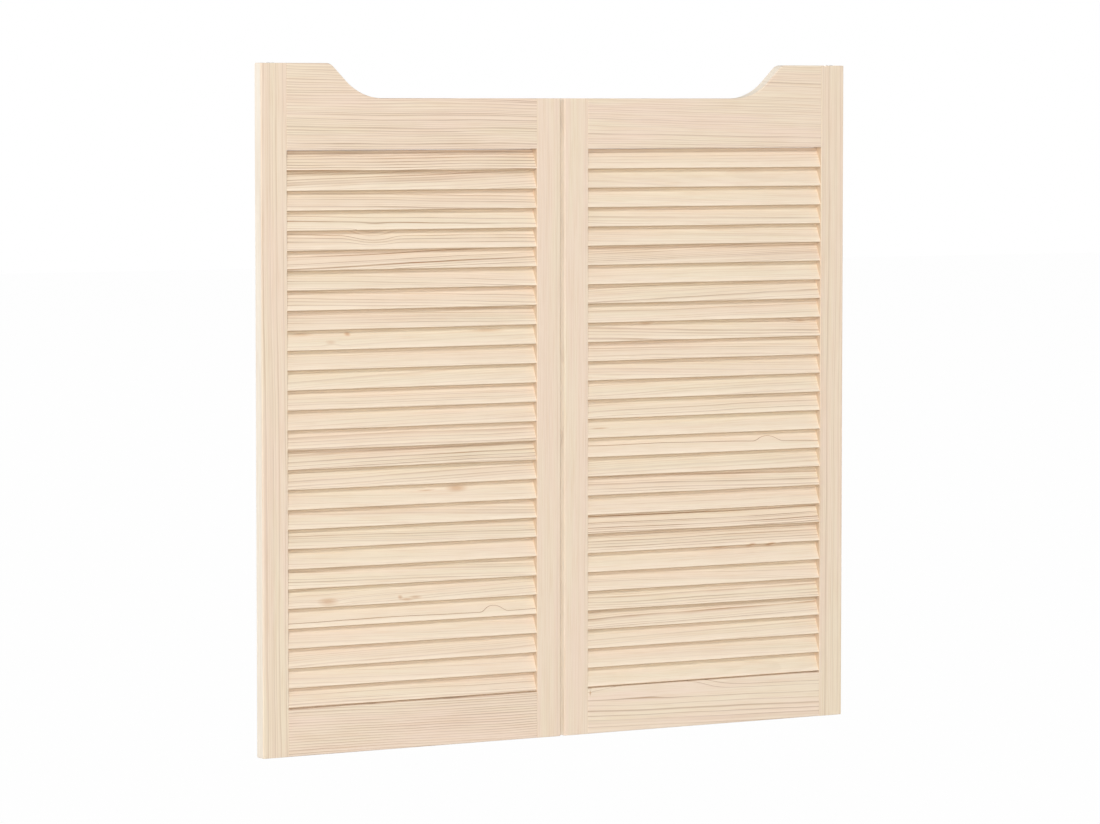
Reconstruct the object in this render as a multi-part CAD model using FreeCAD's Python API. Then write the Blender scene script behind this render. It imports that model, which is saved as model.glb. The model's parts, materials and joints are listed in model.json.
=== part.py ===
import FreeCAD, Part
import math
import os

# Leaf outline, in millimetres
LEAF_HEIGHT = 993.0
LEAF_WIDTH = 494.0
LEAF_THICKNESS = 21.0
LEAF_GAP = 5.4
SCOOP_DEPTH = 50.0
SHOULDER_WIDTH = 105.6
SHOULDER_RADIUS = 15.0
SCOOP_RADIUS = 85.0
SCOOP_SLOPE_DEG = 45.0
OUTER_EASE = 1.6
JOINT_EASE = 0.6

# Frame members
STILE_WIDTH = 41.0
TOP_RAIL_HEIGHT = 74.0
BOTTOM_RAIL_HEIGHT = 68.0
TENON_LENGTH = 14.0
TENON_THICKNESS = 7.0
TENON_SHOULDER = 12.0
TENON_CLEARANCE = 0.1

# Louvre slats and the pockets that hold their ends
SLAT_THICKNESS = 6.0
SLAT_LEAN_DEG = 25.0
SLAT_SETBACK = 2.0
SLAT_COVER = 1.0
SLAT_END_CLEARANCE = 1.0
POCKET_DEPTH = 6.0
POCKET_CLEARANCE = 0.2
SLAT_GROUPS = 7
SLAT_EDGE_FACETS = 4

# Pivots in the ends of the outer stiles
PIVOT_RADIUS = 4.0
PIVOT_LENGTH = 28.0
PIVOT_TIP_CHAMFER = 0.8
PIVOT_RUNNING_CLEARANCE = 0.05
BORE_END_CLEARANCE = 2.0
COLLAR_RADIUS = 6.0
COLLAR_THICKNESS = 3.0
COLLAR_PROUD = 0.6
COLLAR_GAP = 0.3
COLLAR_SIDE_CLEARANCE = 0.5
TAPPED_RADIUS = 2.5
TAPPED_DEPTH = 12.0

# Levels and places that follow from the sizes above
HALF = LEAF_THICKNESS / 2
LEAF_BOTTOM = COLLAR_PROUD
LEAF_TOP = LEAF_BOTTOM + LEAF_HEIGHT
LOW_TOP = LEAF_TOP - SCOOP_DEPTH
OPENING_BOTTOM = LEAF_BOTTOM + BOTTOM_RAIL_HEIGHT
OPENING_TOP = LOW_TOP - TOP_RAIL_HEIGHT
PIVOT_INSET = STILE_WIDTH / 2
OPENING_LEFT = STILE_WIDTH
OPENING_RIGHT = LEAF_WIDTH - STILE_WIDTH
AXIS_SPAN = 2 * (LEAF_WIDTH - PIVOT_INSET) + LEAF_GAP
PIVOT_TOTAL = COLLAR_THICKNESS + COLLAR_GAP + PIVOT_LENGTH
RECESS_DEPTH = COLLAR_THICKNESS + COLLAR_GAP - COLLAR_PROUD
PART_TOP = LEAF_TOP + COLLAR_PROUD

# Slat section and spacing: the width fills the thickness, the count keeps each slat covering the next
LEAN = math.radians(SLAT_LEAN_DEG)
SLAT_RADIUS = SLAT_THICKNESS / 2
SLAT_RUN = (LEAF_THICKNESS - 2 * SLAT_SETBACK - SLAT_THICKNESS) / math.sin(LEAN)
SLAT_RISE = SLAT_RUN * math.cos(LEAN) + SLAT_THICKNESS
SLAT_TRAVEL = OPENING_TOP - OPENING_BOTTOM - 2 * SLAT_END_CLEARANCE - SLAT_RISE
SLAT_COUNT = math.ceil(SLAT_TRAVEL / (SLAT_RISE - SLAT_COVER)) + 1
SLAT_PITCH = SLAT_TRAVEL / (SLAT_COUNT - 1)


def vec(u, y, z):
    return FreeCAD.Vector(u, y, z)


def save(shape, name):
    shape.exportStep(os.path.join("parts", name + ".step"))


def arc_point(centre, radius, angle):
    return vec(centre[0] + radius * math.sin(angle), -HALF, centre[1] + radius * math.cos(angle))


def scoop_edges():
    """Shoulder arc, straight slope and hollow arc, each tangent to the next."""
    slope = math.radians(SCOOP_SLOPE_DEG)
    drop = (SCOOP_RADIUS + SHOULDER_RADIUS) * (1 - math.cos(slope))
    run = (SCOOP_DEPTH - drop) / math.tan(slope)
    spread = (SHOULDER_RADIUS + SCOOP_RADIUS) * math.sin(slope)
    shoulder = (SHOULDER_WIDTH, LEAF_TOP - SHOULDER_RADIUS)
    hollow = (SHOULDER_WIDTH + spread + run, LOW_TOP + SCOOP_RADIUS)
    s0 = arc_point(shoulder, SHOULDER_RADIUS, 0)
    s1 = arc_point(shoulder, SHOULDER_RADIUS, slope / 2)
    s2 = arc_point(shoulder, SHOULDER_RADIUS, slope)
    h0 = arc_point(hollow, SCOOP_RADIUS, slope + math.pi)
    h1 = arc_point(hollow, SCOOP_RADIUS, slope / 2 + math.pi)
    h2 = arc_point(hollow, SCOOP_RADIUS, math.pi)
    arcs = [Part.Arc(s0, s1, s2).toShape(), Part.makeLine(s2, h0), Part.Arc(h0, h1, h2).toShape()]
    return s0, arcs, h2


def leaf_blank():
    """The whole leaf as one board, with the arris taken off its front and back edges."""
    start, scoop, end = scoop_edges()
    corners = [
        end,
        vec(LEAF_WIDTH, -HALF, LOW_TOP),
        vec(LEAF_WIDTH, -HALF, LEAF_BOTTOM),
        vec(0, -HALF, LEAF_BOTTOM),
        vec(0, -HALF, LEAF_TOP),
        start,
    ]
    sides = [Part.makeLine(a, b) for a, b in zip(corners, corners[1:])]
    board = Part.Face(Part.Wire(scoop + sides)).extrude(vec(0, LEAF_THICKNESS, 0))
    rims = [e for e in board.Edges if e.BoundBox.YLength < HALF]
    return board.makeChamfer(OUTER_EASE, rims)


def region(u0, u1, z0, z1):
    return Part.makeBox(u1 - u0, LEAF_THICKNESS, z1 - z0, vec(u0, -HALF, z0))


def diamond_bar(centre, a, b, sweep):
    """A square bar standing on its corner, which takes the arris off an edge."""
    ring = [centre + a, centre + b, centre - a, centre - b, centre + a]
    return Part.Face(Part.makePolygon(ring)).extrude(sweep)


def upright_ease(u):
    a = vec(JOINT_EASE, 0, 0)
    b = vec(0, JOINT_EASE, 0)
    sweep = vec(0, 0, LEAF_TOP - LEAF_BOTTOM)
    return [diamond_bar(vec(u, side * HALF, LEAF_BOTTOM), a, b, sweep) for side in (-1, 1)]


def level_ease(z):
    a = vec(0, JOINT_EASE, 0)
    b = vec(0, 0, JOINT_EASE)
    sweep = vec(LEAF_WIDTH, 0, 0)
    return [diamond_bar(vec(0, side * HALF, z), a, b, sweep) for side in (-1, 1)]


def tenon_bar(z0, z1, clearance):
    """One bar through both tenons of a rail, grown by the clearance for the mortises."""
    length = OPENING_RIGHT - OPENING_LEFT + 2 * TENON_LENGTH
    width = TENON_THICKNESS + 2 * clearance
    corner = vec(OPENING_LEFT - TENON_LENGTH, -width / 2, z0 - clearance)
    return Part.makeBox(length, width, z1 - z0 + 2 * clearance, corner)


def tenon_bars(clearance):
    top = tenon_bar(OPENING_TOP + TENON_SHOULDER, LOW_TOP - TENON_SHOULDER, clearance)
    bottom = tenon_bar(LEAF_BOTTOM + TENON_SHOULDER, OPENING_BOTTOM - TENON_SHOULDER, clearance)
    return top, bottom


def ring_points(centre, first, last, steps):
    """Points at even angles from the spoke first, round by the spoke last, to the far side of the ring."""
    angles = [math.pi * i / steps for i in range(steps + 1)]
    return [centre + first * math.cos(a) + last * math.sin(a) for a in angles]


def slat_bar(index, clearance):
    """A leaning bar with rounded edges, long enough to sit in both pockets."""
    radius = SLAT_RADIUS + clearance
    rise = OPENING_BOTTOM + SLAT_END_CLEARANCE + SLAT_RADIUS + index * SLAT_PITCH
    nose = vec(OPENING_LEFT - POCKET_DEPTH, SLAT_SETBACK + SLAT_RADIUS - HALF, rise)
    along = vec(0, math.sin(LEAN), math.cos(LEAN))
    across = vec(0, -math.cos(LEAN), math.sin(LEAN)) * radius
    tip = nose + along * SLAT_RUN
    top_edge = ring_points(tip, across, along * radius, SLAT_EDGE_FACETS)
    bottom_edge = ring_points(nose, across * -1, along * -radius, SLAT_EDGE_FACETS)
    outline = Part.makePolygon(top_edge + bottom_edge + top_edge[:1])
    length = OPENING_RIGHT - OPENING_LEFT + 2 * POCKET_DEPTH
    return Part.Face(outline).extrude(vec(length, 0, 0))


def pivot_bore(z, direction):
    """Blind bore for a stem, with a wider recess at its mouth that lets the collar in."""
    mouth = vec(PIVOT_INSET, 0, z)
    inward = vec(0, 0, direction)
    depth = RECESS_DEPTH + PIVOT_LENGTH + BORE_END_CLEARANCE
    bore = Part.makeCylinder(PIVOT_RADIUS + PIVOT_RUNNING_CLEARANCE, depth, mouth, inward)
    recess = Part.makeCylinder(COLLAR_RADIUS + COLLAR_SIDE_CLEARANCE, RECESS_DEPTH, mouth, inward)
    return bore.fuse(recess)


def turned_pivot():
    """Collar and stem in one piece, standing on the collar, tapped from below."""
    collar = Part.makeCylinder(COLLAR_RADIUS, COLLAR_THICKNESS)
    stem = Part.makeCylinder(PIVOT_RADIUS, PIVOT_TOTAL)
    tip = [e for e in stem.Edges if e.BoundBox.ZMin > PIVOT_LENGTH]
    hole = Part.makeCylinder(TAPPED_RADIUS, TAPPED_DEPTH)
    return collar.fuse(stem.makeChamfer(PIVOT_TIP_CHAMFER, tip)).removeSplitter().cut(hole)


def leaf_pieces():
    """Every piece of one leaf, with the hinge edge at zero and the meeting edge at the leaf width."""
    blank = leaf_blank()
    pockets = [slat_bar(i, POCKET_CLEARANCE) for i in range(SLAT_COUNT)]
    mortises = list(tenon_bars(TENON_CLEARANCE))
    bores = [pivot_bore(LEAF_BOTTOM, 1), pivot_bore(LEAF_TOP, -1)]
    top_tenons, bottom_tenons = tenon_bars(0)
    joints = upright_ease(OPENING_LEFT) + upright_ease(OPENING_RIGHT)
    sills = level_ease(OPENING_TOP) + level_ease(OPENING_BOTTOM)

    outer = blank.common(region(0, OPENING_LEFT, LEAF_BOTTOM, LEAF_TOP))
    inner = blank.common(region(OPENING_RIGHT, LEAF_WIDTH, LEAF_BOTTOM, LEAF_TOP))
    top = blank.common(region(OPENING_LEFT, OPENING_RIGHT, OPENING_TOP, LEAF_TOP))
    bottom = blank.common(region(OPENING_LEFT, OPENING_RIGHT, LEAF_BOTTOM, OPENING_BOTTOM))
    pieces = {
        "outer_stile": outer.cut(pockets + mortises + bores + joints),
        "inner_stile": inner.cut(pockets + mortises + joints),
        "top_rail": top.cut(joints + sills).fuse(top_tenons).removeSplitter(),
        "bottom_rail": bottom.cut(joints + sills).fuse(bottom_tenons).removeSplitter(),
    }
    slats = [slat_bar(i, 0) for i in range(SLAT_COUNT)]
    for group in range(SLAT_GROUPS):
        first = group * SLAT_COUNT // SLAT_GROUPS
        last = (group + 1) * SLAT_COUNT // SLAT_GROUPS
        pieces["slats_%d" % (group + 1)] = Part.makeCompound(slats[first:last])
    return pieces


# The left leaf hangs on the origin's axis, and the right leaf is its mirror image
os.makedirs("parts", exist_ok=True)
middle = vec(AXIS_SPAN / 2, 0, 0)
for name, shape in leaf_pieces().items():
    shape.translate(vec(-PIVOT_INSET, 0, 0))
    save(shape, "left_" + name)
    save(shape.mirror(middle, vec(1, 0, 0)), "right_" + name)

# One pivot at each end of both outer stiles
foot = turned_pivot()
head = foot.mirror(vec(0, 0, PART_TOP / 2), vec(0, 0, 1))
for side, u in (("left", 0), ("right", AXIS_SPAN)):
    save(foot.translated(vec(u, 0, 0)), side + "_bottom_pivot")
    save(head.translated(vec(u, 0, 0)), side + "_top_pivot")
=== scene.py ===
import json
import math

import bpy
import numpy as np
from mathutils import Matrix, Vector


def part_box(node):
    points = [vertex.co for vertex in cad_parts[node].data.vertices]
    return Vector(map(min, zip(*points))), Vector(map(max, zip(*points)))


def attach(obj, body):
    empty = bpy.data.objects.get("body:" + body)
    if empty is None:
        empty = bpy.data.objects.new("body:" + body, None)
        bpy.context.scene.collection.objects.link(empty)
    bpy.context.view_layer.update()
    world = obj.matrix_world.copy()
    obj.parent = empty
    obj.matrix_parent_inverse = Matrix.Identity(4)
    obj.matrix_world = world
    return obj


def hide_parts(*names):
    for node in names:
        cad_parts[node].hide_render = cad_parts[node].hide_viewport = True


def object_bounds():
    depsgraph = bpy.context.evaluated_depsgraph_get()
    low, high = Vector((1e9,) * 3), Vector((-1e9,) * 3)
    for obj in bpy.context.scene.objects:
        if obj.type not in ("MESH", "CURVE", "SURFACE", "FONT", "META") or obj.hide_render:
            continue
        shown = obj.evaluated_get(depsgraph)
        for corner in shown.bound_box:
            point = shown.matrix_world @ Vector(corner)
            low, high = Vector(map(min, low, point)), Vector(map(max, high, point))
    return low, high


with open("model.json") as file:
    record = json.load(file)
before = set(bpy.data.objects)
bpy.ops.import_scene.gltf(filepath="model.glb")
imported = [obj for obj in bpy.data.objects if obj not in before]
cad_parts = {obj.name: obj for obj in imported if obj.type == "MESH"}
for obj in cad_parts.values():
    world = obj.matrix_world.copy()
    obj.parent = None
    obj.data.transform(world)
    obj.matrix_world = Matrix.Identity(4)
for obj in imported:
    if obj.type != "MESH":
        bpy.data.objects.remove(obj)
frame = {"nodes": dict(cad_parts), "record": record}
cad_low, cad_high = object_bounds()

MM = 0.001
rng = np.random.default_rng(28)

# Sizes and levels of the leaves, in metres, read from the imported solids
HINGE_LOW, HINGE_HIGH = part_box("left_outer_stile")
MEETING_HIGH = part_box("left_inner_stile")[1]
HINGE = HINGE_LOW.x
MEETING = MEETING_HIGH.x
STILE = HINGE_HIGH.x - HINGE
LEAF = MEETING - HINGE
THICKNESS = HINGE_HIGH.y - HINGE_LOW.y
FOOT = HINGE_LOW.z
HIGH_TOP = HINGE_HIGH.z
LOW_TOP = MEETING_HIGH.z
RAIL_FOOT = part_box("left_top_rail")[0].z
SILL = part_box("left_bottom_rail")[1].z
MIRROR = cad_low.x + cad_high.x

# Eased edges
OUTER_ROUND = 2.0 * MM
MEETING_ROUND = 2.6 * MM
JOINT_ROUND = 0.8 * MM
LOUVRE_ROUND = 1.2 * MM
STILE_END_ROUND = 1.0 * MM
SLAT_ROUND = 1.2 * MM
SLAT_END_ROUND = 0.5 * MM
ROUND_STEPS = 5
FLAT_STEPS = 5
ON_EDGE = 0.001 * MM

# Scoop of the top rail, measured from the leaf's hinge edge
SHOULDER = 105.6 * MM
SHOULDER_ROUND = 15.0 * MM
SCOOP_ROUND = 85.0 * MM
SCOOP_SLOPE = math.radians(45.0)

# Slats, placed as the solids are, each a little bowed and leaning a little more or less than the next
SLAT_THICKNESS = 6.0 * MM
SLAT_LEAN = math.radians(25.0)
SLAT_SETBACK = 2.0 * MM
SLAT_END_GAP = 1.0 * MM
SLAT_HOUSED = 5.5 * MM
SLATS = 28
SLATS_IN_GROUP = 4
GROUPS = SLATS // SLATS_IN_GROUP
LEAN_SPREAD = math.radians(0.3)
BOW_SPREAD = 0.2 * MM
SAG_SPREAD = 0.15 * MM

# Bores for the pivots in the ends of the outer stiles
BORE = 4.05 * MM
BORE_DEPTH = 32.7 * MM
RECESS = 6.5 * MM
RECESS_DEPTH = 2.7 * MM

# Stations along each kind of board
STILE_SPANS = 12
SCOOP_SPANS = 260
BOTTOM_SPANS = 40
SLAT_SPANS = 40

# Strength of the painted shade on the stiles' walls along the louvre and on the slats' end faces, and of
# the painted highlight near the slats' noses, from nought to one, how far up a slat's front that painted
# highlight reaches, and the share of its rings' strength that the painted highlight on the scoop washes
# out
STILE_LOUVRE_SHADE = 0.55
SLAT_END_SHADE = 1.0
SLAT_NOSE_HIGHLIGHT = 0.85
SLAT_HIGHLIGHT_REACH = 10.0 * MM
SCOOP_HIGHLIGHT_FADE = 0.7


def linear(colour):
    """sRGB hex to the linear colour that a shader socket takes."""
    parts = np.array([int(colour[i:i + 2], 16) for i in (1, 3, 5)]) / 255
    parts = np.where(parts <= 0.04045, parts / 12.92, ((parts + 0.055) / 1.055) ** 2.4)
    return (*parts.tolist(), 1.0)


def add(tree, kind, inputs=(), **settings):
    """Adds a node, sets its properties, and links or sets its inputs."""
    made = tree.nodes.new(kind)
    for key, value in settings.items():
        setattr(made, key, value)
    for key, value in dict(inputs).items():
        if isinstance(value, bpy.types.NodeSocket):
            tree.links.new(value, made.inputs[key])
        else:
            made.inputs[key].default_value = value
    return made


# Boards


def rounded_ends(start, stop, rounding, spans):
    """Stations along a board: quarter circles at both ends, even steps between.
    At angle a in a quarter circle the station lies r(1 - sin a) from the end
    and the section is set in by r(1 - cos a)."""
    angle = np.linspace(0, math.pi / 2, ROUND_STEPS)
    end = rounding * (1 - np.sin(angle))[::-1]
    inset = rounding * (1 - np.cos(angle))[::-1]
    middle = np.linspace(start + rounding, stop - rounding, spans + 1)[1:-1]
    along = np.concatenate([start + end, middle, stop - end[::-1]])
    return along, np.concatenate([inset, np.zeros(len(middle)), inset[::-1]])


def board_section(low, high, depth, low_round, high_round, flats=0):
    """Oblong ring with quarter-circle corners, one ring per station.
    A point is its corner's centre plus the corner's radius times (cos a, sin a), the angle running once
    round the ring, with further points spaced evenly on the flats between the corners."""
    side = np.repeat([-1, 1, 1, -1], ROUND_STEPS)
    face = np.repeat([-1, -1, 1, 1], ROUND_STEPS)
    quarter = np.repeat([2, 3, 0, 1], ROUND_STEPS) + np.tile(np.linspace(0, 1, ROUND_STEPS), 4)
    angle = quarter * math.pi / 2
    radius = np.where(side < 0, low_round, high_round)
    across = np.where(side < 0, low + radius, high - radius) + radius * np.cos(angle)
    through = face * (depth / 2 - radius) + radius * np.sin(angle)
    ring = np.stack([across, through]).reshape(2, -1, 4, ROUND_STEPS)
    share = np.arange(1, flats + 1) / (flats + 1)
    here, ahead = ring[..., -1:], np.roll(ring[..., :1], -1, axis=2)
    ring = np.concatenate([ring, here + (ahead - here) * share], axis=-1)
    return ring.reshape(2, len(across), -1)


def on(edge, across):
    """True where a point of a section lies on the edge."""
    return np.isclose(across, edge, rtol=0, atol=ON_EDGE)


def mirrored(x, side):
    """The right leaf is the left one mirrored over the meeting line."""
    return x if side == "left" else MIRROR - x


# Sawing: how far a saw cut strays from true, in radians, how far aside and below a board the pith lay,
# and the length of trunk, in metres, that boards start in
SAW_STRAY = 0.08
PITH_ASIDE = 8 * MM
PITH_BELOW = 45 * MM, 85 * MM
TRUNK = 40.0

# Columns of a board's row: its place in the log, then rings, figure and tone, then evenness
LOG_PLACE = slice(0, 5)
GRAIN = slice(5, 8)
EVENNESS = 8
FIGURE_IN_GRAIN = 1


def sawn(flat, ring_mm, figure, slide, even=0.0, tone=None, pith_mm=None):
    """How a board lay in its log: sawing angle, two distances from the pith, slide off it and start along
    it. Then its rings per metre, how strongly they show, its tone from yellowish at minus one to rosy at
    one, and how even its years are, from nought to one. Tone and distance above the pith are left to
    chance if none is given."""
    turn = rng.normal(0, SAW_STRAY) + (0 if flat else math.pi / 2)
    out = rng.uniform(-PITH_ASIDE, PITH_ASIDE)
    up = rng.uniform(*PITH_BELOW)
    start = rng.uniform(0, TRUNK)
    chance = rng.uniform(-1, 1)
    up = up if pith_mm is None else pith_mm * MM
    tone = chance if tone is None else tone
    return turn, out, up, slide, start, 1 / (ring_mm * MM), figure, tone, even


def log_place(along, across, through, boards):
    """Where each point of a board lay in the tree: along the trunk, and the two distances from the pith.
    The section is turned by the sawing angle, moved out from the pith, and slides off it evenly
    along the trunk."""
    turn, out, up, slide, start = boards[:, LOG_PLACE].T[..., None, None]
    side = across * np.cos(turn) - through * np.sin(turn) + out
    rise = across * np.sin(turn) + through * np.cos(turn) + up + along * slide
    return np.stack(np.broadcast_arrays(along + start, side, rise), axis=-1)


def skin(name, points, log, boards, sharp=(), painted_shade=0.0, painted_highlight=0.0, faint=0.0):
    """Closed boards from rings: points is (boards, stations, ring, 3). Each quad joins neighbours on two
    neighbouring rings, and the first and last rings are closed by one face each. The rings at the sharp
    stations keep a hard edge. The painted-shade mask is one where shade is painted on recessed walls and
    slat end faces, the painted-highlight mask where a highlight is painted on edges and noses, and faint
    is the share of the rings' strength that is lost."""
    count, stations, ring = points.shape[:3]
    index = np.arange(count * stations * ring).reshape(count, stations, ring)
    after = np.roll(index, -1, axis=2)
    quads = np.stack([index[:, :-1], after[:, :-1], after[:, 1:], index[:, 1:]], axis=-1).reshape(-1, 4)
    caps = np.concatenate([index[:, 0, ::-1], index[:, -1]])
    spot = points.reshape(-1, 3)
    a, b, c = (spot[quads[:, i]] - spot.mean(axis=0) for i in range(3))
    if np.einsum("ij,ij->i", a, np.cross(b, c)).sum() < 0:
        quads, caps = quads[:, ::-1], caps[:, ::-1]
    mesh = bpy.data.meshes.new(name)
    mesh.from_pydata(spot, [], quads.tolist() + caps.tolist())
    mesh.polygons.foreach_set("use_smooth", np.ones(len(mesh.polygons), bool))
    ends = np.empty(2 * len(mesh.edges), np.int32)
    mesh.edges.foreach_get("vertices", ends)
    level = ends.reshape(-1, 2) // ring % stations
    hard = (level[:, 0] == level[:, 1]) & np.isin(level[:, 0], np.array(sharp) % stations)
    mesh.edges.foreach_set("use_edge_sharp", hard)
    grain = np.array(np.broadcast_to(boards[:, None, None, GRAIN], points.shape))
    grain[..., FIGURE_IN_GRAIN] *= 1 - np.asarray(faint)
    for attribute, values in (("log", log), ("grain", grain)):
        store = mesh.attributes.new(attribute, "FLOAT_VECTOR", "POINT")
        store.data.foreach_set("vector", values.astype(np.float32).ravel())
    even = boards[:, None, None, EVENNESS]
    for attribute, values in (("even", even), ("painted_shade", painted_shade), ("painted_highlight", painted_highlight)):
        store = mesh.attributes.new(attribute, "FLOAT", "POINT")
        whole = np.broadcast_to(values, points.shape[:3])
        store.data.foreach_set("value", whole.astype(np.float32).ravel())
    mesh.update()
    piece = bpy.data.objects.new(name, mesh)
    bpy.context.scene.collection.objects.link(piece)
    piece.modifiers.new("flat faces stay flat", "WEIGHTED_NORMAL").keep_sharp = True
    return piece


def dress(piece, node, body, finish):
    """Gives a piece its finish, puts it on the body that carries it, and hides the solid it stands for."""
    piece.data.materials.append(finish)
    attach(piece, body)
    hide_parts(node)


# Materials

STILE_CREAM = "#f1e1c9"
STILE_ROSE = "#f2ddc9"
RAIL_CREAM = "#f4e4cd"
RAIL_ROSE = "#f5e0cd"
SLAT_CREAM = "#f2e4cd"
SLAT_ROSE = "#f3e1cc"
# Painted highlights on the leaves' side faces, the top rail's upper edge and the slats' noses
EDGE_HIGHLIGHT = "#f8eddd"
NOSE_HIGHLIGHT = "#ffefda"
LATE_TAN = "#a07044"
# Painted shade on the stiles' walls along the louvre and on the slats' end faces
PAINTED_SHADE_TAN = "#d6bd9f"
FIBRE_TAN = "#dcbc95"
KNOT_TAN = "#c08a52"
STEEL_DARK = "#b9bbbd"
STEEL_BRIGHT = "#d3d4d5"
FLOOR_WHITE = "#e0dfdd"

# Sizes of the wood's patterns in millimetres, along the trunk and across it. Fibres and turning lines are
# drawn coarser than real ones, so that they show.
WANDER_MM = 357.14, 71.43
FADE_MM = 142.86, 16.67
FIBRE_MM = 71.43, 1.613
BLUSH_MM = 250, 22.22
UNEVEN_YEARS_MM = 9.091
RING_WANDER = 12 * MM
GRAIN_RELIEF = 0.15 * MM
TURNING_MM = 16.67, 16.67, 0.3846
TURNING_RELIEF = 0.03 * MM

# Late wood: its reach inward from a ring's sharp outer side, and its strength at shares of that reach
LATE_REACH = 4 * MM
LATE_STRENGTH = ((0.04, 0.8), (0.1, 1.0), (0.2, 0.9), (0.3, 0.4), (0.55, 0.06))

# How many years a ring may run early, and the strength of the faintest line, from uneven to even years
YEAR_SWING = 2.2, 0.5
FAINTEST_LINE = 0.15, 0.75

# A knot pushes rings aside out to this many of its half sizes, and its tan mark fades between these
KNOT_REACH = 3.5
KNOT_MARK = 0.3, 1.3

# How far fibres streak the wood and a board's tone warms it, and the roughness from dips to ridges
STREAK_SHARE = 0.32
TONE_SHARE = 0.12
PINE_ROUGHNESS = 0.54, 0.72
STEEL_ROUGHNESS = 0.26, 0.46


def new_material(name):
    """A material with an empty node tree, and that tree."""
    material = bpy.data.materials.new(name)
    material.use_nodes = True
    material.node_tree.nodes.clear()
    return material, material.node_tree


def grain_pattern(tree, log, along_mm, across_mm, detail, roughness=0.5):
    """A pattern drawn out along the trunk, in patches about as long and as wide as the two sizes."""
    across = 1 / (across_mm * MM)
    scale = 1 / (along_mm * MM), across, across
    spot = add(tree, "ShaderNodeVectorMath", {0: log, 1: scale}, operation="MULTIPLY")
    noise = add(tree, "ShaderNodeTexNoise", {
        "Vector": spot.outputs[0], "Scale": 1.0, "Detail": detail, "Roughness": roughness})
    return noise.outputs


def ring_radius(tree, log):
    """Distance from the pith, in a trunk whose rings wander slowly by some millimetres."""
    drift = grain_pattern(tree, log, *WANDER_MM, 3.0, 0.45)["Color"]
    centred = add(tree, "ShaderNodeVectorMath", {0: drift, 1: (0.5, 0.5, 0.5)}, operation="SUBTRACT")
    wander = add(tree, "ShaderNodeVectorMath", {
        0: centred.outputs[0], 1: (0, RING_WANDER, RING_WANDER), 2: log}, operation="MULTIPLY_ADD")
    cross = add(tree, "ShaderNodeVectorMath", {0: wander.outputs[0], 1: (0, 1, 1)}, operation="MULTIPLY")
    return add(tree, "ShaderNodeVectorMath", {0: cross.outputs[0]}, operation="LENGTH").outputs["Value"]


def knotted(tree, radius, knots):
    """Pushes the rings aside round each knot, and gives how strongly the knots' tan marks show.
    Both fade with the distance from a knot's middle, counted in its half width and half height."""
    mark = 0.0
    place = add(tree, "ShaderNodeTexCoord").outputs["Object"]
    for x, z, wide, high, push, tan in knots:
        away = add(tree, "ShaderNodeVectorMath", {0: place, 1: (x * MM, 0, z * MM)}, operation="SUBTRACT")
        scaled = add(tree, "ShaderNodeVectorMath", {
            0: away.outputs[0], 1: (1 / (wide * MM), 0, 1 / (high * MM))}, operation="MULTIPLY")
        length = add(tree, "ShaderNodeVectorMath", {0: scaled.outputs[0]}, operation="LENGTH")
        reach = length.outputs["Value"]
        bulge = add(tree, "ShaderNodeMapRange", {
            "Value": reach, "From Min": 0.0, "From Max": KNOT_REACH, "To Min": push * MM, "To Max": 0.0},
            interpolation_type="SMOOTHERSTEP")
        radius = add(tree, "ShaderNodeMath", {0: radius, 1: bulge.outputs[0]}, operation="ADD").outputs[0]
        eye = add(tree, "ShaderNodeMapRange", {
            "Value": reach, "From Min": KNOT_MARK[0], "From Max": KNOT_MARK[1],
            "To Min": tan, "To Max": 0.0})
        mark = add(tree, "ShaderNodeMath", {0: mark, 1: eye.outputs[0]}, operation="MAXIMUM").outputs[0]
    return radius, mark


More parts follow.
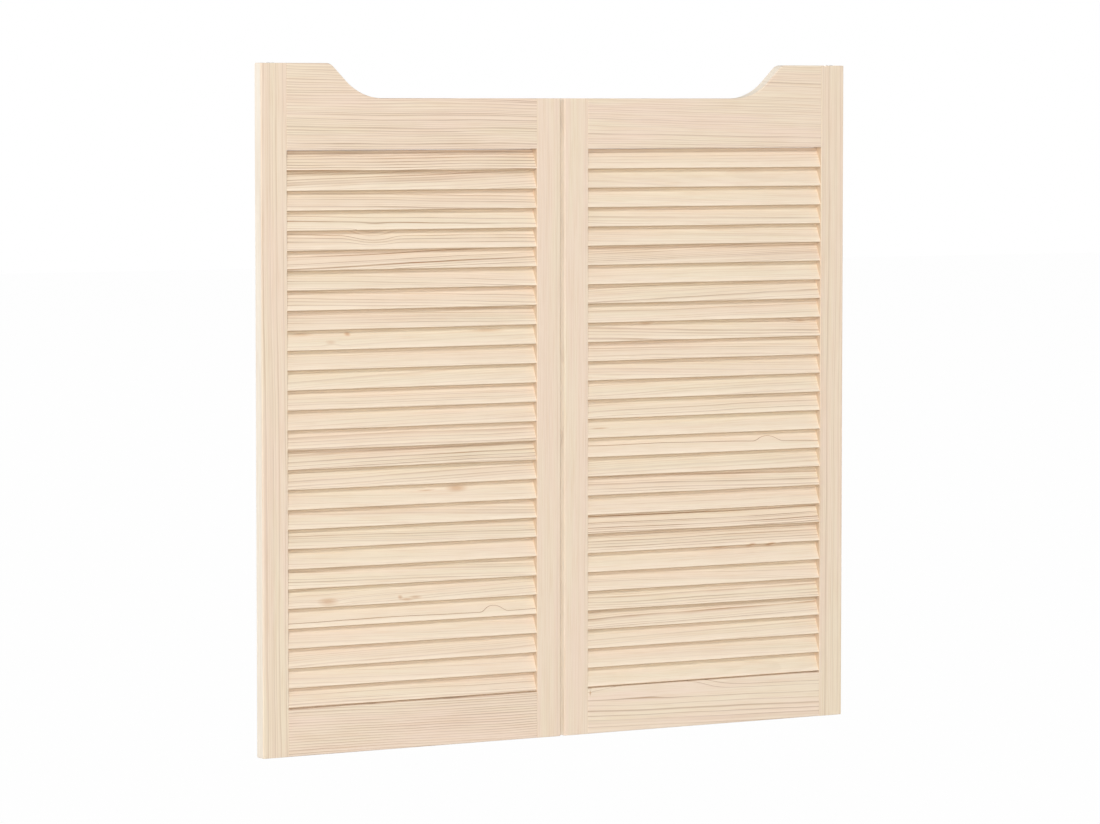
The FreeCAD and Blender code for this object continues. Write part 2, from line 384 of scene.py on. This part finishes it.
def late_lines(tree, log, radius, rings, figure):
    """Strength of the late wood's lines. Each ring is wider or narrower than the last, and its late wood
    stronger or fainter, the less so the more even the years are. A line has a sharp outer side, fades
    inwards over some millimetres, and comes and goes along the trunk."""
    even = add(tree, "ShaderNodeAttribute", attribute_name="even").outputs["Fac"]
    swing = add(tree, "ShaderNodeMapRange", {
        "Value": even, "To Min": YEAR_SWING[0], "To Max": YEAR_SWING[1]})
    least = add(tree, "ShaderNodeMapRange", {
        "Value": even, "To Min": FAINTEST_LINE[0], "To Max": FAINTEST_LINE[1]})
    years = add(tree, "ShaderNodeMath", {0: radius, 1: rings}, operation="MULTIPLY")
    spread = add(tree, "ShaderNodeMath", {0: radius, 1: UNEVEN_YEARS_MM * MM}, operation="DIVIDE")
    uneven = add(tree, "ShaderNodeTexNoise", {
        "W": spread.outputs[0], "Scale": 1.0, "Detail": 1.0}, noise_dimensions="1D")
    age = add(tree, "ShaderNodeMath", {
        0: uneven.outputs["Fac"], 1: swing.outputs[0], 2: years.outputs[0]}, operation="MULTIPLY_ADD")
    season = add(tree, "ShaderNodeMath", {0: age.outputs[0]}, operation="FRACT")
    year = add(tree, "ShaderNodeMath", {0: age.outputs[0]}, operation="FLOOR")
    vigour = add(tree, "ShaderNodeTexWhiteNoise", {"W": year.outputs[0]}, noise_dimensions="1D")
    strength = add(tree, "ShaderNodeMapRange", {
        "Value": vigour.outputs["Value"], "To Min": least.outputs[0], "To Max": 1.0})
    left_over = add(tree, "ShaderNodeMath", {0: 1.0, 1: season.outputs[0]}, operation="SUBTRACT")
    inside = add(tree, "ShaderNodeMath", {0: left_over.outputs[0], 1: rings}, operation="DIVIDE")
    depth = add(tree, "ShaderNodeMath", {0: inside.outputs[0], 1: LATE_REACH}, operation="DIVIDE")
    late = add(tree, "ShaderNodeValToRGB", {"Fac": depth.outputs[0]})
    stops = late.color_ramp.elements
    stops[0].color = stops[1].color = (0, 0, 0, 1)
    for position, value in LATE_STRENGTH:
        stops.new(position).color = (value, value, value, 1)
    fade = grain_pattern(tree, log, *FADE_MM, 2.0)["Fac"]
    shown = add(tree, "ShaderNodeMapRange", {
        "Value": fade, "From Min": 0.3, "From Max": 0.6, "To Min": 0.4, "To Max": 1.0})
    line = late.outputs["Color"]
    for share in (strength.outputs[0], shown.outputs[0], figure):
        line = add(tree, "ShaderNodeMath", {0: line, 1: share}, operation="MULTIPLY").outputs[0]
    return line


def planed_pine(name, cream, rose, highlight_pale, knots=()):
    """Unfinished softwood off the planer. Early wood is cream and late wood a thin tan line that ends
    sharply, so the face shows fine lines and long arches. Fibres make it faintly streaky, a painted
    highlight makes edges and slat noses a little paler and painted shade makes recessed walls and slat
    end faces a little darker, and its sheen is dull."""
    material, tree = new_material(name)
    log = add(tree, "ShaderNodeAttribute", attribute_name="log").outputs["Vector"]
    board = add(tree, "ShaderNodeAttribute", attribute_name="grain").outputs["Vector"]
    painted_highlight = add(tree, "ShaderNodeAttribute", attribute_name="painted_highlight").outputs["Fac"]
    painted_shade = add(tree, "ShaderNodeAttribute", attribute_name="painted_shade").outputs["Fac"]
    rings, figure, tone = add(tree, "ShaderNodeSeparateXYZ", {0: board}).outputs
    radius = ring_radius(tree, log)
    marks = []
    if knots:
        radius, mark = knotted(tree, radius, knots)
        marks = [(mark, KNOT_TAN)]
    line = late_lines(tree, log, radius, rings, figure)
    fibre = grain_pattern(tree, log, *FIBRE_MM, 2.0, 0.6)["Fac"]
    streak = add(tree, "ShaderNodeMapRange", {
        "Value": fibre, "From Min": 0.45, "From Max": 0.75, "To Min": 0.0, "To Max": STREAK_SHARE})
    blush = grain_pattern(tree, log, *BLUSH_MM, 2.0)["Fac"]
    warm = add(tree, "ShaderNodeMath", {0: tone, 1: TONE_SHARE, 2: blush}, operation="MULTIPLY_ADD")
    patch = add(tree, "ShaderNodeMapRange", {"Value": warm.outputs[0], "From Min": 0.35, "From Max": 0.65})

    # Each layer covers the one before it by its share
    colour = linear(cream)
    layers = [
        (patch.outputs[0], rose),
        # Painted highlight on edges and slat noses
        (painted_highlight, highlight_pale),
        (line, LATE_TAN),
        (streak.outputs[0], FIBRE_TAN),
        # Painted shade on recessed walls and on the slats' end faces
        (painted_shade, PAINTED_SHADE_TAN),
        *marks,
    ]
    for share, shade in layers:
        colour = add(tree, "ShaderNodeMix", {
            "Factor": share, 6: colour, 7: linear(shade)}, data_type="RGBA").outputs[2]

    relief = add(tree, "ShaderNodeMath", {0: line, 1: 0.6, 2: fibre}, operation="MULTIPLY_ADD")
    bump = add(tree, "ShaderNodeBump", {
        "Height": relief.outputs[0], "Strength": 0.25, "Distance": GRAIN_RELIEF})
    sheen = add(tree, "ShaderNodeMapRange", {
        "Value": fibre, "To Min": PINE_ROUGHNESS[0], "To Max": PINE_ROUGHNESS[1]})
    wood = add(tree, "ShaderNodeBsdfPrincipled", {
        "Base Color": colour, "Roughness": sheen.outputs[0], "Normal": bump.outputs[0],
        "IOR": 1.5, "Specular IOR Level": 0.3})
    add(tree, "ShaderNodeOutputMaterial", {"Surface": wood.outputs[0]})
    return material


def turned_steel():
    """Bright steel off the lathe: a cool grey with fine turning lines round the stem that break up
    its gloss."""
    material, tree = new_material("turned_steel")
    place = add(tree, "ShaderNodeTexCoord").outputs["Object"]
    scale = [1 / (size * MM) for size in TURNING_MM]
    spot = add(tree, "ShaderNodeVectorMath", {0: place, 1: scale}, operation="MULTIPLY")
    noise = add(tree, "ShaderNodeTexNoise", {"Vector": spot.outputs[0], "Scale": 1.0, "Detail": 2.0})
    marks = noise.outputs["Fac"]
    gloss = add(tree, "ShaderNodeMapRange", {
        "Value": marks, "To Min": STEEL_ROUGHNESS[0], "To Max": STEEL_ROUGHNESS[1]})
    tint = add(tree, "ShaderNodeMix", {
        "Factor": marks, 6: linear(STEEL_DARK), 7: linear(STEEL_BRIGHT)}, data_type="RGBA")
    bump = add(tree, "ShaderNodeBump", {"Height": marks, "Strength": 0.2, "Distance": TURNING_RELIEF})
    metal = add(tree, "ShaderNodeBsdfPrincipled", {
        "Base Color": tint.outputs[2], "Roughness": gloss.outputs[0], "Normal": bump.outputs[0],
        "Metallic": 1.0})
    add(tree, "ShaderNodeOutputMaterial", {"Surface": metal.outputs[0]})
    return material


# Small knots, and bends of the grain with no tan mark, in millimetres: place across and up, half width and
# half height, how far they push the rings down, and how strong their tan mark is
RAIL_KNOTS = [
    (524, 61.5, 1.4, 4, 1, 0.55),
    (640, 68, 50, 8, -14, 0.0),
]
SLAT_KNOTS = [
    (302, 375.5, 16, 5, 3, 0.5),
    (250, 374, 13, 0.9, 0, 0.5),
    (205, 221, 4, 3, 0, 0.5),
    (215, 217.6, 11, 2.2, 0, 0.45),
    (230, 220, 10, 2.4, 0, 0.4),
    (87, 220.5, 15, 5, 3, 0.45),
    (122.5, 605, 5, 3.2, 2, 0.6),
    (93, 594, 8, 3, -3, 0.3),
    (353, 605, 26, 2.5, 0, 0.35),
    (48, 606, 18, 2.5, 0, 0.35),
    (362, 197, 8, 6, -10, 0.0),
    (163, 745, 16, 8, 7, 0.0),
    (842, 430, 9, 6, -9, 0.0),
    (543, 454.7, 16, 1.2, 0, 0.5),
    (627, 609, 12, 2.5, 3, 0.35),
    (902, 607, 9, 2.5, 3, 0.3),
    (757, 267.5, 14, 1.5, 0, 0.5),
    (811, 269, 7, 3, 1, 0.65),
    (846, 268.5, 8, 3.2, 1, 0.65),
]
stile_pine = planed_pine("planed_pine_stile", STILE_CREAM, STILE_ROSE, EDGE_HIGHLIGHT)
rail_pine = planed_pine("planed_pine_rail", RAIL_CREAM, RAIL_ROSE, EDGE_HIGHLIGHT, RAIL_KNOTS)
slat_pine = planed_pine("planed_pine_slat", SLAT_CREAM, SLAT_ROSE, NOSE_HIGHLIGHT, SLAT_KNOTS)
steel = turned_steel()


# Stiles, with the grain upright


def bored_end(across, through, level, inward):
    """Rings from the bottom of a pivot's bore out to the end of a stile: the bore's circle twice, the
    recess's circle twice. A point keeps the angle of the end's own ring point about the stile's middle."""
    middle = (across.min() + across.max()) / 2
    angle = np.arctan2(through, across - middle)
    radius = np.array([BORE, BORE, RECESS, RECESS])[:, None]
    depth = np.array([BORE_DEPTH, RECESS_DEPTH, RECESS_DEPTH, 0])[:, None]
    rise = np.broadcast_to(level + inward * depth, (len(depth), len(angle)))
    return middle + radius * np.cos(angle), radius * np.sin(angle), rise


def stile(side, place, low, high, rounds, top, cut):
    """A rounded oblong carried straight up from the foot to the top, bored at both ends where it
    holds pivots."""
    along, inset = rounded_ends(FOOT, top, STILE_END_ROUND, STILE_SPANS)
    inset = inset[:, None]
    across, through = board_section(
        low + inset, high - inset, THICKNESS - 2 * inset, *rounds, FLAT_STEPS)
    rise = np.broadcast_to(along[:, None], across.shape)
    sharp = ()
    if place == "outer":
        foot = bored_end(across[0], through[0], along[0], 1)
        head = bored_end(across[-1], through[-1], along[-1], -1)
        across, through, rise = (
            np.concatenate([a, b, c[::-1]]) for a, b, c in zip(foot, (across, through, rise), head))
        rings = len(foot[0])
        sharp = (*range(rings), *range(-rings, 0))
    points = np.stack([mirrored(across, side), through, rise], axis=-1)[None]
    boards = np.array([cut])
    louvre, edge = (high, low) if place == "outer" else (low, high)
    node = f"{side}_{place}_stile"
    log = log_place(rise, across, through, boards)
    # Painted shade on the inner wall along the louvre, and a painted highlight on the side face at the
    # leaf's edge
    painted_shade = STILE_LOUVRE_SHADE * on(louvre, across)
    piece = skin(node + "_board", points, log, boards, sharp, painted_shade, on(edge, across))
    dress(piece, node, side + "_leaf", stile_pine)


# Rails, with the grain level


def scoop_height(u):
    """Height of the top rail's upper edge at the distance u from the hinge edge: the shoulder's flat,
    a convex arc, a straight slope and a hollow arc that meets the low edge level."""
    sine, cosine = math.sin(SCOOP_SLOPE), math.cos(SCOOP_SLOPE)
    arcs = (SHOULDER_ROUND + SCOOP_ROUND) * (1 - cosine)
    run = (HIGH_TOP - LOW_TOP - arcs) / math.tan(SCOOP_SLOPE)
    knee = SHOULDER + SHOULDER_ROUND * sine
    heel = knee + run
    toe = heel + SCOOP_ROUND * sine
    convex = HIGH_TOP - SHOULDER_ROUND + np.sqrt(np.maximum(SHOULDER_ROUND ** 2 - (u - SHOULDER) ** 2, 0))
    straight = HIGH_TOP - SHOULDER_ROUND * (1 - cosine) - (u - knee) * math.tan(SCOOP_SLOPE)
    hollow = LOW_TOP + SCOOP_ROUND - np.sqrt(np.maximum(SCOOP_ROUND ** 2 - (u - toe) ** 2, 0))
    parts = [HIGH_TOP, convex, straight, hollow]
    return np.select([u < SHOULDER, u < knee, u < heel, u < toe], parts, LOW_TOP)


def sill_height(u):
    """The bottom rail's upper edge is level."""
    return np.full_like(u, SILL)


def rail(side, place, foot, height, rounds, spans, cut):
    """A rounded oblong carried along the leaf, its upper edge following the given height."""
    u, inset = rounded_ends(STILE, LEAF - STILE, JOINT_ROUND, spans)
    high = height(u)[:, None]
    depth = THICKNESS - 2 * inset[:, None]
    across, through = board_section(np.full_like(high, foot), high, depth, *rounds)
    along = np.broadcast_to(u[:, None], across.shape)
    points = np.stack([mirrored(along + HINGE, side), through, across], axis=-1)[None]
    boards = np.array([cut])
    # Painted highlight on the top rail's upper edge, which also washes out its rings
    painted_highlight = (place == "top") * on(high, across)
    node = f"{side}_{place}_rail"
    log = log_place(along, across - foot, through, boards)
    piece = skin(node + "_board", points, log, boards, painted_highlight=painted_highlight, faint=SCOOP_HIGHLIGHT_FADE * painted_highlight)
    dress(piece, node, side + "_leaf", rail_pine)


# Sawing of the stiles and rails: flat or not, ring spacing in millimetres, strength of the figure,
# slide along the trunk, and where it matters evenness of the years and tone
OUTER_CUT = False, 5.0, 0.36, 0.004, 0.0, 0.0
INNER_CUT = False, 4.2, 0.2, 0.003
RAIL_CUTS = {
    "left_top": (False, 3.6, 0.8, 0.012, 0.4, 0.0),
    "left_bottom": (False, 3.8, 0.6, 0.012, 1.0, 0.6),
    "right_top": (False, 3.4, 0.5, -0.02, 0.2, 0.0),
    "right_bottom": (False, 8.0, 0.8, -0.025, 0.5, -0.2),
}
HINGE_ROUNDS = OUTER_ROUND, JOINT_ROUND
MEETING_ROUNDS = JOINT_ROUND, MEETING_ROUND
TOP_ROUNDS = LOUVRE_ROUND, OUTER_ROUND
BOTTOM_ROUNDS = OUTER_ROUND, LOUVRE_ROUND

for side in ("left", "right"):
    stile(side, "outer", HINGE, HINGE + STILE, HINGE_ROUNDS, HIGH_TOP, sawn(*OUTER_CUT))
    stile(side, "inner", MEETING - STILE, MEETING, MEETING_ROUNDS, LOW_TOP, sawn(*INNER_CUT))
    top_cut = sawn(*RAIL_CUTS[side + "_top"])
    rail(side, "top", RAIL_FOOT, scoop_height, TOP_ROUNDS, SCOOP_SPANS, top_cut)
    bottom_cut = sawn(*RAIL_CUTS[side + "_bottom"])
    rail(side, "bottom", FOOT, sill_height, BOTTOM_ROUNDS, BOTTOM_SPANS, bottom_cut)


# Slats, leaning back

# Slats with a figure of their own, counted up from nought: flat or not, ring spacing, strength, slide,
# and where it matters evenness, tone and distance above the pith, then the ranges for the other slats
SLAT_CUTS = {
    ("left", 27): (False, 4.6, 1.0, 0.004, 0.9),
    ("left", 24): (False, 9.0, 1.4, 0.014),
    ("left", 23): (False, 6.0, 1.2, 0.02),
    ("left", 18): (False, 6.0, 0.25, -0.02),
    ("left", 4): (False, 30.0, 3.2, 0.0, 1.0, 0.0, 60.0),
    ("left", 0): (False, 4.0, 0.7, 0.01),
    ("right", 13): (False, 5.0, 0.12, 0.02),
    ("right", 12): (False, 30.0, 3.2, -0.012, 1.0, 0.0, 56.0),
    ("right", 8): (False, 4.2, 1.3, 0.006),
    ("right", 7): (False, 4.6, 0.8, 0.003, 0.7),
    ("right", 6): (False, 6.0, 0.2, 0.0),
    ("right", 3): (False, 5.0, 0.9, 0.02),
}
FLAT_SAWN_SHARE = 0.12
FLAT_RING_MM = 1.4, 2.2
FLAT_FIGURE = 0.12, 0.3
QUARTER_RING_MM = 3.0, 6.0
QUARTER_FIGURE = 0.25, 1.0
MOST_SLIDE = 0.04


def slat_cut(side, number):
    """Most slats are sawn on the quarter and show straight lines, and about one in eight is flat-sawn,
    with faint arches."""
    flat = rng.random() < FLAT_SAWN_SHARE
    ring_mm = rng.uniform(*(FLAT_RING_MM if flat else QUARTER_RING_MM))
    figure = rng.uniform(*(FLAT_FIGURE if flat else QUARTER_FIGURE))
    usual = flat, ring_mm, figure, rng.uniform(-MOST_SLIDE, MOST_SLIDE)
    return sawn(*SLAT_CUTS.get((side, number), usual))


def slats(side):
    """A rounded bar leaning by the lean angle, carried along the leaf. Its middle lies on the leaf's
    middle plane at an even pitch, and its bow is a half sine along its length."""
    run = (THICKNESS - 2 * SLAT_SETBACK - SLAT_THICKNESS) / math.sin(SLAT_LEAN)
    width = run + SLAT_THICKNESS
    reach = run * math.cos(SLAT_LEAN) / 2 + SLAT_THICKNESS / 2 + SLAT_END_GAP
    middles = np.linspace(SILL + reach, RAIL_FOOT - reach, SLATS)
    u, inset = rounded_ends(STILE - SLAT_HOUSED, LEAF - STILE + SLAT_HOUSED, SLAT_END_ROUND, SLAT_SPANS)
    inset = inset[:, None]
    edge = SLAT_ROUND - inset
    half = width / 2 - inset
    across, through = board_section(-half, half, SLAT_THICKNESS - 2 * inset, edge, edge, FLAT_STEPS)
    # Painted shade on both end faces of each slat, and a painted highlight on its front that fades up from
    # the nose
    shaded_end = SLAT_END_SHADE * on(half, np.abs(across))
    painted_highlight = SLAT_NOSE_HIGHLIGHT * np.clip(1 - (across + half) / SLAT_HIGHLIGHT_REACH, 0, 1) * (through > 0)
    along = np.broadcast_to(u[:, None], across.shape)
    arch = np.sin(math.pi * (along - u[0]) / (u[-1] - u[0]))
    lean = (SLAT_LEAN + rng.normal(0, LEAN_SPREAD, SLATS))[:, None, None]
    bow = rng.normal(0, BOW_SPREAD, SLATS)[:, None, None] * arch
    sag = rng.normal(0, SAG_SPREAD, SLATS)[:, None, None] * arch
    y = across * np.sin(lean) - through * np.cos(lean) + bow
    z = middles[:, None, None] + across * np.cos(lean) + through * np.sin(lean) + sag
    x = np.broadcast_to(mirrored(along + HINGE, side), y.shape)
    points = np.stack([x, y, z], axis=-1)
    boards = np.array([slat_cut(side, number) for number in range(SLATS)])
    log = log_place(along, across, through, boards)
    for group in range(GROUPS):
        some = slice(group * SLATS_IN_GROUP, (group + 1) * SLATS_IN_GROUP)
        node = f"{side}_slats_{group + 1}"
        piece = skin(node + "_boards", points[some], log[some], boards[some], (), shaded_end, painted_highlight)
        dress(piece, node, side + "_leaf", slat_pine)


slats("left")
slats("right")

# The pivots keep their solids' shape
for name in frame["record"]["behaviour"]["bodies"]["pivots"]:
    for holder in frame["nodes"][name].material_slots:
        holder.material = steel


# Floor and light

# The floor's depth and half side in metres, the share of plain white seen in it, and the room's own light
FLOOR_DROP = 0.45
FLOOR_REACH = 30.0
FLOOR_SEEN_WHITE = 0.985
ROOM_LIGHT = 0.32
WHITE = (1, 1, 1, 1)


def seen_directly(tree):
    """One where a camera, mirror or glass ray looks, and nought for the light that falls on the leaves."""
    path = add(tree, "ShaderNodeLightPath").outputs
    seen = path["Is Camera Ray"]
    for ray in ("Is Glossy Ray", "Is Transmission Ray"):
        seen = add(tree, "ShaderNodeMath", {0: seen, 1: path[ray]}, operation="MAXIMUM").outputs[0]
    return seen


def white_floor():
    """A large matt white square below the leaves, which shows a soft shadow on white."""
    material, tree = new_material("matt_white_floor")
    seen = seen_directly(tree)
    share = add(tree, "ShaderNodeMath", {0: seen, 1: FLOOR_SEEN_WHITE}, operation="MULTIPLY")
    matt = add(tree, "ShaderNodeBsdfDiffuse", {"Color": linear(FLOOR_WHITE)})
    white = add(tree, "ShaderNodeEmission", {"Color": WHITE, "Strength": 1.0})
    both = add(tree, "ShaderNodeMixShader", {0: share.outputs[0], 1: matt.outputs[0], 2: white.outputs[0]})
    add(tree, "ShaderNodeOutputMaterial", {"Surface": both.outputs[0]})
    mesh = bpy.data.meshes.new("floor")
    corner = np.array([(-1, -1), (1, -1), (1, 1), (-1, 1)]) * FLOOR_REACH
    mesh.from_pydata(np.column_stack([corner, np.full(4, -FLOOR_DROP)]), [], [(0, 1, 2, 3)])
    mesh.materials.append(material)
    floor = bpy.data.objects.new("floor", mesh)
    bpy.context.scene.collection.objects.link(floor)


def white_room():
    """A white room that lights the leaves softly from all round."""
    world = bpy.data.worlds.new("studio")
    bpy.context.scene.world = world
    world.use_nodes = True
    tree = world.node_tree
    tree.nodes.clear()
    room = add(tree, "ShaderNodeBackground", {"Color": WHITE, "Strength": ROOM_LIGHT})
    white = add(tree, "ShaderNodeBackground", {"Color": WHITE, "Strength": 1.0})
    seen = seen_directly(tree)
    both = add(tree, "ShaderNodeMixShader", {0: seen, 1: room.outputs[0], 2: white.outputs[0]})
    add(tree, "ShaderNodeOutputWorld", {"Surface": both.outputs[0]})


# Lamps stand this many metres from the middle of the leaves
LIGHT_DISTANCE = 24.0
middle = (cad_low + cad_high) / 2


def soft_box(name, azimuth, elevation, size, energy):
    """A square soft light that looks at the middle of the leaves from the azimuth, counted from the front
    towards the left, and the elevation, in degrees."""
    light = bpy.data.lights.new(name, "AREA")
    light.shape = "SQUARE"
    light.size = size
    light.energy = energy
    lamp = bpy.data.objects.new(name, light)
    turn, up = math.radians(azimuth), math.radians(elevation)
    way = np.array([-math.sin(turn) * math.cos(up), -math.cos(turn) * math.cos(up), math.sin(up)])
    lamp.location = np.array(middle) + LIGHT_DISTANCE * way
    lamp.rotation_euler = (middle - lamp.location).to_track_quat("-Z", "Y").to_euler()
    bpy.context.scene.collection.objects.link(lamp)


# Soft lights: azimuth, elevation, side in metres and power in watts
LAMPS = {
    "key": (32, 29, 4.0, 2400),
    "low": (30, 3, 2.4, 1390),
    "side": (92, 20, 5.0, 920),
    "back": (172, 6, 4.0, 1800),
    "far_side": (267, 10, 5.0, 1400),
}
white_floor()
white_room()
for name, settings in LAMPS.items():
    soft_box(name, *settings)

# Camera at the photograph's viewing angle: place in metres, dip below level, turn to the right, and lens
# and sensor in millimetres
CAMERA_PLACE = (-3.0900, -6.0533, 0.9337)
CAMERA_DIP = math.radians(3.686)
CAMERA_TURN = math.radians(30.394)
CAMERA_LENS = 155.92
CAMERA_SENSOR = 36.0

camera = bpy.data.cameras.new("camera")
camera.sensor_width = CAMERA_SENSOR
camera.lens = CAMERA_LENS
viewer = bpy.data.objects.new("camera", camera)
viewer.location = CAMERA_PLACE
viewer.rotation_euler = (math.pi / 2 - CAMERA_DIP, 0, -CAMERA_TURN)
bpy.context.scene.collection.objects.link(viewer)
bpy.context.scene.camera = viewer
bpy.context.scene.view_settings.view_transform = "Standard"
